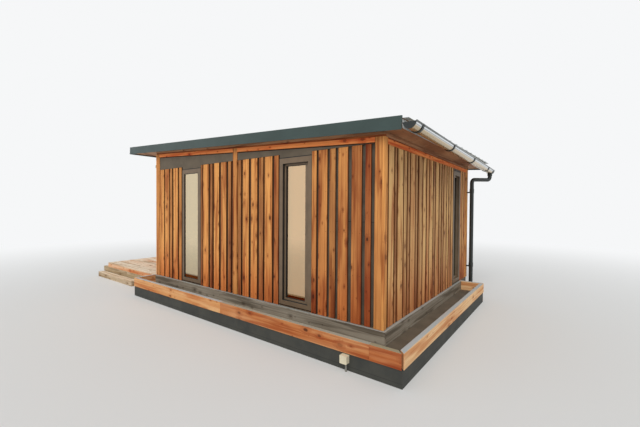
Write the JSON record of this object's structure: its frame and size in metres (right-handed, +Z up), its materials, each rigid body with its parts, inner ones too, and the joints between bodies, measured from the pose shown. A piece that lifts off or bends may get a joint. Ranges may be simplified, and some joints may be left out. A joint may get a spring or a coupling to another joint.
{
  "type": "tiny house",
  "caption": "Single-room timber-clad cabin with a single-pitch roof, tall narrow windows, a half-round gutter with downpipe, planters along two sides, and a deck with steps.",
  "frame": {"origin": "at ground level under the middle of the house body, on the underside of the middle ground bearer", "axes": "+X along the front wall to the right (the low eave with the gutter), front faces -Y, +Z up"},
  "size_m": [8.644, 5.091, 3.2127],
  "materials": {
    "structure_timber": "rough sawn pressure-treated timber",
    "dark_board": "matt dark grey painted board",
    "floor_wood": "oiled floor boards",
    "wall_panel": "plain spruce panel",
    "cladding_wood": "rough sawn softwood boards, orange brown, with knots",
    "trim_wood": "planed softwood, orange brown",
    "soffit_wood": "brown stained plywood",
    "window_frame": "satin warm grey powder coat",
    "window_glass": "clear double glazing",
    "handle_steel": "brushed",
    "roof_metal": "satin dark green grey coated sheet",
    "gutter_zinc": "bright galvanised sheet",
    "dark_metal": "anthracite coated metal",
    "planter_wood": "sawn softwood planks, orange, with a pale sunlit side",
    "weathered_wood": "grey weathered softwood",
    "deck_wood": "tan softwood decking",
    "supply_plastic": "cream moulded plastic"
  },
  "bodies": {
    "root": {"ground_bearers": "structure_timber", "base_skirt": "dark_board", "floor_deck": "floor_wood", "front_wall": "wall_panel", "back_wall": "wall_panel", "right_wall": "wall_panel", "left_wall": "wall_panel", "front_cladding": "cladding_wood", "back_cladding": "cladding_wood", "right_cladding": "cladding_wood", "left_cladding": "cladding_wood", "corner_posts": "trim_wood", "mid_posts": "trim_wood", "top_rails": "trim_wood", "frieze_boards": "soffit_wood", "infill_panels": "dark_board", "window_frames": "window_frame", "window_sashes": "window_frame", "window_glass": "window_glass", "entrance_frame": "window_frame", "entrance_leaf": "window_frame", "entrance_glass": "window_glass", "entrance_handle": "handle_steel", "roof_deck": "wall_panel", "soffit_boards": "soffit_wood", "roof_fascias": "roof_metal", "eave_board": "soffit_wood", "roof_sheet": "roof_metal", "gutter": "gutter_zinc", "gutter_end_caps": "dark_metal", "gutter_brackets": "dark_metal", "gutter_outlet": "dark_metal", "downpipe": "dark_metal", "pipe_clips": "dark_metal", "planter_boards": "planter_wood", "planter_wall_boards": "weathered_wood", "planter_base": "dark_board", "planter_floor": "dark_board", "deck_boards": "deck_wood", "deck_edge_boards": "deck_wood", "deck_joists": "structure_timber", "deck_beams": "deck_wood", "deck_steps": "deck_wood", "deck_pads": "structure_timber", "supply_box": "supply_plastic", "wall_lamp": "dark_metal"}
  },
  "joints": []
}
